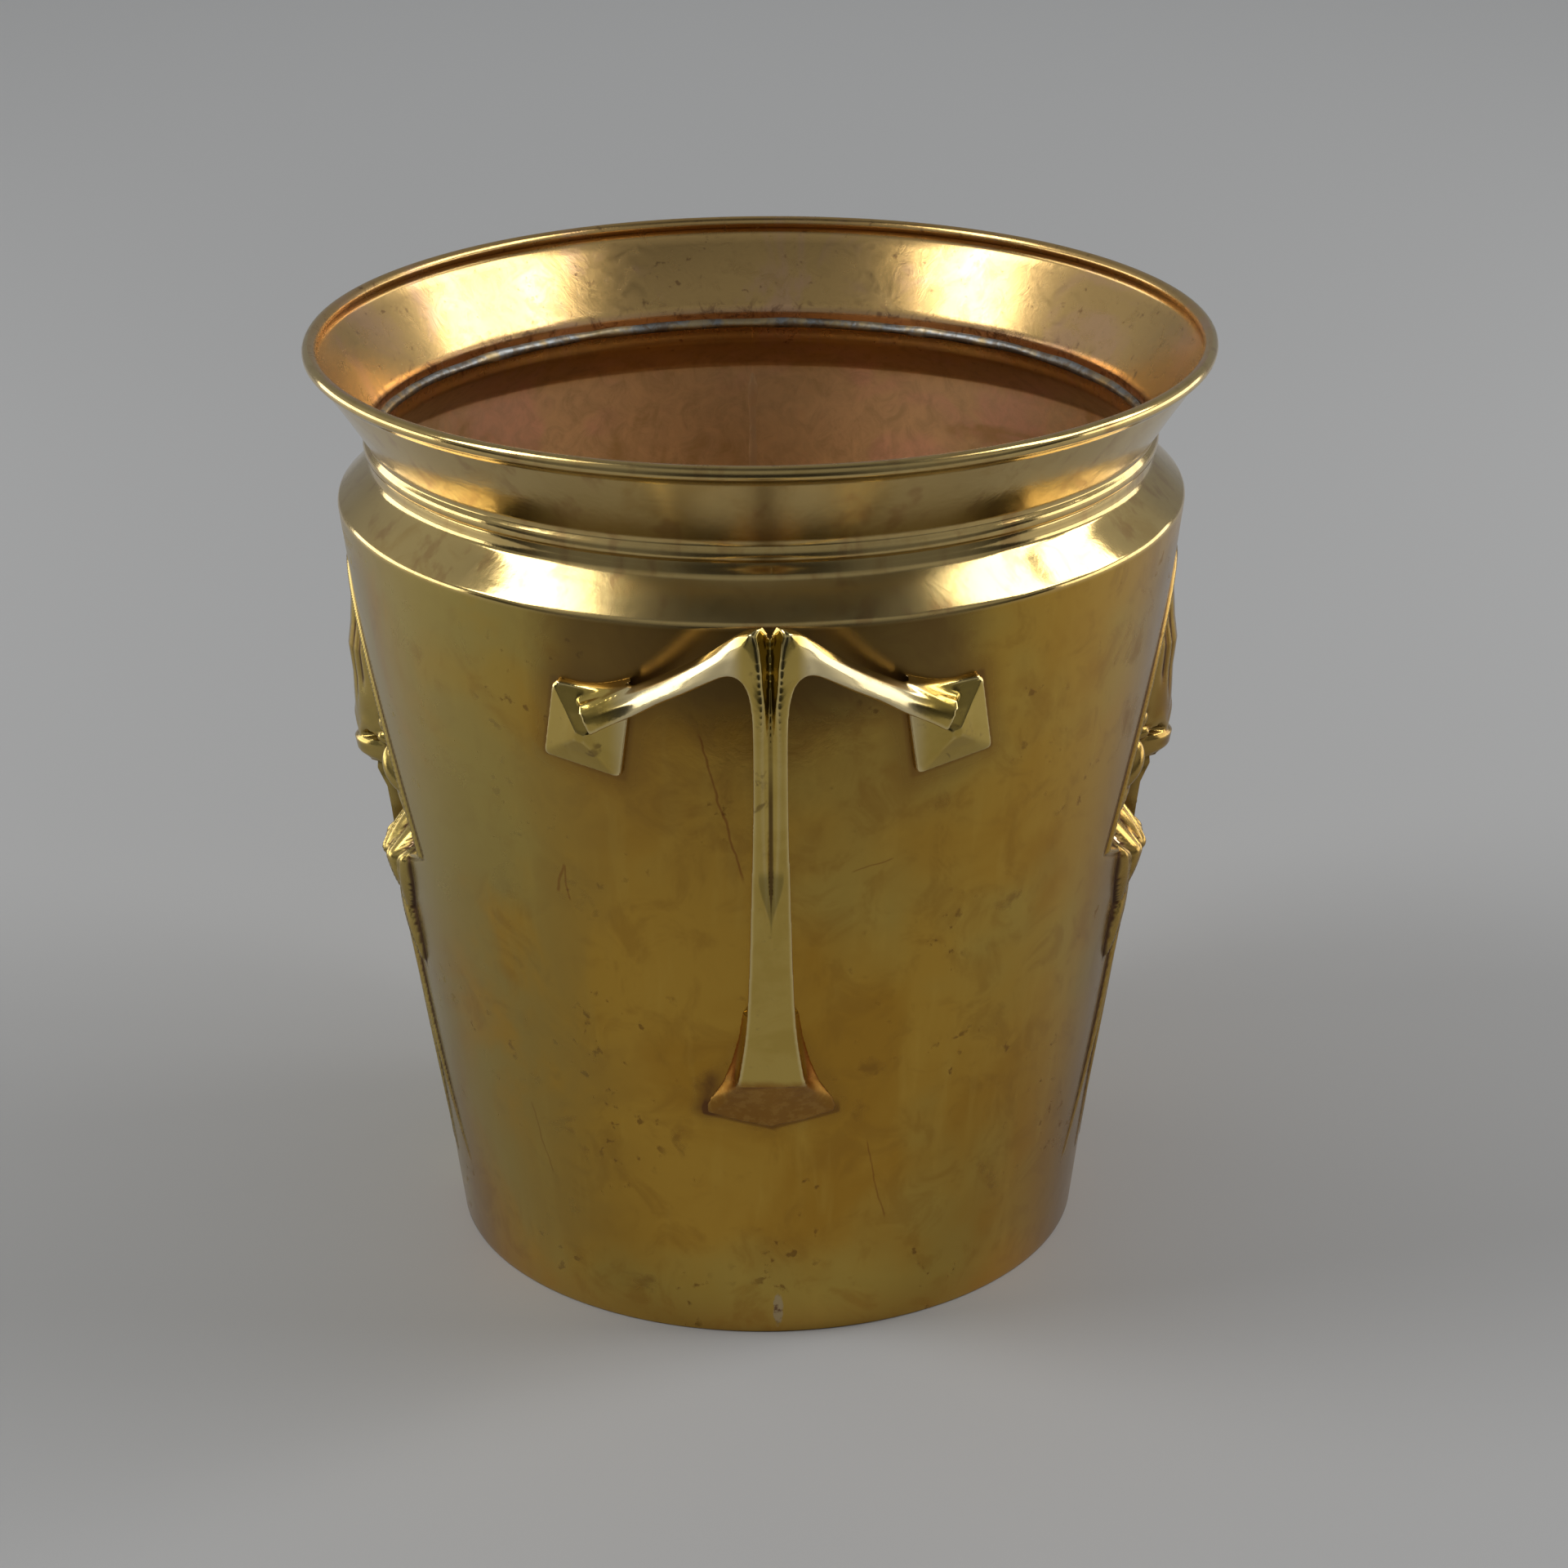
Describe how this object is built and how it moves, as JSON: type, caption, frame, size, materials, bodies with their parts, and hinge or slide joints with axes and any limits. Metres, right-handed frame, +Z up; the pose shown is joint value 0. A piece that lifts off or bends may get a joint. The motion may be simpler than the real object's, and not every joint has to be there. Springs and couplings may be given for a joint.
{
  "type": "planter pot",
  "caption": "Tapered sheet brass planter pot with a flared wired rim, cast Y-shaped handles front and back, and a stamped flower relief on each side.",
  "frame": {"origin": "middle of the circle that the lower edge of the wall stands on", "axes": "+Z up along the pot's axis, the handles on -Y and +Y, the relief panels on -X and +X"},
  "size_m": [0.24, 0.2834, 0.2525],
  "materials": {
    "body_brass": "aged satin brass sheet, tarnished olive gold",
    "handle_brass": "cast brass, worn bright on the edges",
    "base_brass": "dull brown unpolished brass",
    "solder": "grey tin solder",
    "wire_steel": "plain iron wire, hidden in the roll"
  },
  "bodies": {
    "root": {"body_half_right": "body_brass", "body_half_left": "body_brass", "collar": "body_brass", "rim_wire": "wire_steel", "base_plate": "base_brass", "base_solder": "solder", "neck_solder": "solder", "seam_solder_front": "solder", "seam_solder_back": "solder", "handle_front": "handle_brass", "handle_back": "handle_brass"}
  },
  "joints": []
}
